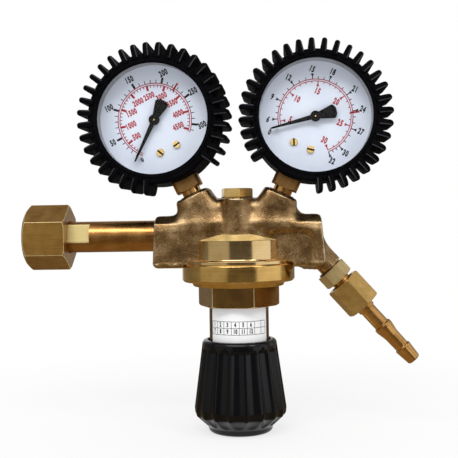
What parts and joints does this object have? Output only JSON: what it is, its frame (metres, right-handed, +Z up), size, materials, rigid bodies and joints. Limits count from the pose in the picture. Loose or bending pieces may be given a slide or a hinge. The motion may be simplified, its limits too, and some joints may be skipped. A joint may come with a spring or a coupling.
{
  "type": "pressure regulator",
  "caption": "Cylinder pressure regulator with a forged brass body, twin booted dial gauges, a union inlet nut, a fluted adjusting knob and an angled hose barb outlet.",
  "frame": {"origin": "centre of the inlet nut's open face, on the inlet axis", "axes": "+X along the inlet axis into the regulator, +Y from the dials to the back, +Z up along the valve and knob axis"},
  "size_m": [0.2051, 0.059, 0.2015],
  "materials": {
    "forged_brass": "hot forged and tumbled, fine grain, satin",
    "turned_brass": "brushed along the flats",
    "polished_brass": "drawn and polished",
    "bright_brass": "fine turned, bright",
    "bonnet_brass": "fine turned, satin",
    "copper": "annealed copper, satin",
    "sintered_bronze": "sintered, porous",
    "stainless_steel": "turned",
    "spring_steel": "drawn wire",
    "case_steel": "pressed sheet, grey lacquer",
    "boot_rubber": "moulded rubber, matte",
    "diaphragm_rubber": "fabric backed sheet",
    "knob_plastic": "moulded, satin",
    "pointer_black": "matte black lacquer",
    "ptfe": "turned",
    "dial_enamel": "printed aluminium, pale blue white",
    "label_paper": "satin printed film",
    "window_clear": "clear moulded"
  },
  "bodies": {
    "regulator": {"body": "forged_brass", "inlet_pipe": "polished_brass", "inlet_seal": "ptfe", "inlet_filter": "sintered_bronze", "valve_plug": "bright_brass", "plug_washer": "copper", "poppet_spring": "spring_steel", "valve_seat": "bright_brass", "diaphragm": "diaphragm_rubber", "slip_ring": "bright_brass", "bonnet": "bonnet_brass", "main_spring": "spring_steel", "label": "label_paper", "outlet_adapter": "turned_brass", "adapter_washer": "copper", "hose_barb": "polished_brass", "left_socket": "turned_brass", "left_stem_washer": "copper", "left_case": "case_steel", "left_boot": "boot_rubber", "left_dial": "dial_enamel", "left_dial_screws": "bright_brass", "left_window": "window_clear", "left_stop_pin": "stainless_steel", "left_bourdon_tube": "turned_brass", "left_movement_frame": "bright_brass", "right_socket": "turned_brass", "right_stem_washer": "copper", "right_case": "case_steel", "right_boot": "boot_rubber", "right_dial": "dial_enamel", "right_dial_screws": "bright_brass", "right_window": "window_clear", "right_stop_pin": "stainless_steel", "right_bourdon_tube": "turned_brass", "right_movement_frame": "bright_brass"},
    "inlet_union": {"inlet_nut": "turned_brass"},
    "outlet_union": {"outlet_nut": "turned_brass"},
    "valve_train": {"diaphragm_plate": "stainless_steel", "plate_nut": "stainless_steel", "push_pin": "stainless_steel", "poppet": "turned_brass"},
    "spring_seat": {"spring_button": "stainless_steel"},
    "adjuster": {"knob": "knob_plastic", "adjusting_screw": "stainless_steel"},
    "left_hand": {"left_pointer": "pointer_black", "left_pinion": "bright_brass"},
    "left_sector": {"left_sector_gear": "turned_brass", "left_link": "stainless_steel"},
    "right_hand": {"right_pointer": "pointer_black", "right_pinion": "bright_brass"},
    "right_sector": {"right_sector_gear": "turned_brass", "right_link": "stainless_steel"}
  },
  "joints": [
    {"name": "inlet_nut_spin", "type": "hinge", "parent": "regulator", "child": "inlet_union", "pos_m": [0.0113, 0, 0], "axis": [1, 0, 0], "continuous": true},
    {"name": "outlet_nut_spin", "type": "hinge", "parent": "regulator", "child": "outlet_union", "pos_m": [0.17161, 0, -0.03177], "axis": [0.6691, 0, -0.7431], "continuous": true},
    {"name": "valve_lift", "type": "slide", "parent": "regulator", "child": "valve_train", "axis": [0, 0, 1], "range_m": [0, 0.001], "stiffness_N_per_m": 2000, "springref_m": -0.002, "deforming": ["poppet_spring", "diaphragm"]},
    {"name": "button_slide", "type": "slide", "parent": "regulator", "child": "spring_seat", "axis": [0, 0, 1], "range_m": [0, 0.01], "deforming": ["main_spring"]},
    {"name": "knob_turn", "type": "hinge", "parent": "spring_seat", "child": "adjuster", "pos_m": [0.1118, 0, -0.08], "axis": [0, 0, 1], "range_deg": [0, 1801]},
    {"name": "left_pointer_turn", "type": "hinge", "parent": "regulator", "child": "left_hand", "pos_m": [0.0706, 0, 0.05984], "axis": [0, 1, 0], "range_deg": [0, 264], "stiffness_Nm_per_rad": 0.0002, "springref_deg": -22.92},
    {"name": "left_sector_turn", "type": "hinge", "parent": "regulator", "child": "left_sector", "pos_m": [0.08361, 0, 0.05587], "axis": [0, 1, 0], "range_deg": [-35.4, 0]},
    {"name": "right_pointer_turn", "type": "hinge", "parent": "regulator", "child": "right_hand", "pos_m": [0.153, 0, 0.05984], "axis": [0, 1, 0], "range_deg": [0, 264], "stiffness_Nm_per_rad": 0.0002, "springref_deg": -22.92},
    {"name": "right_sector_turn", "type": "hinge", "parent": "regulator", "child": "right_sector", "pos_m": [0.15831, 0, 0.04732], "axis": [0, 1, 0], "range_deg": [-35.4, 0]}
  ],
  "couplings": [
    {"joint": "knob_turn", "follows": "button_slide", "rad_per_m": 3141.6},
    {"joint": "left_sector_turn", "follows": "left_pointer_turn", "ratio": -0.13333},
    {"joint": "right_sector_turn", "follows": "right_pointer_turn", "ratio": -0.13333}
  ]
}
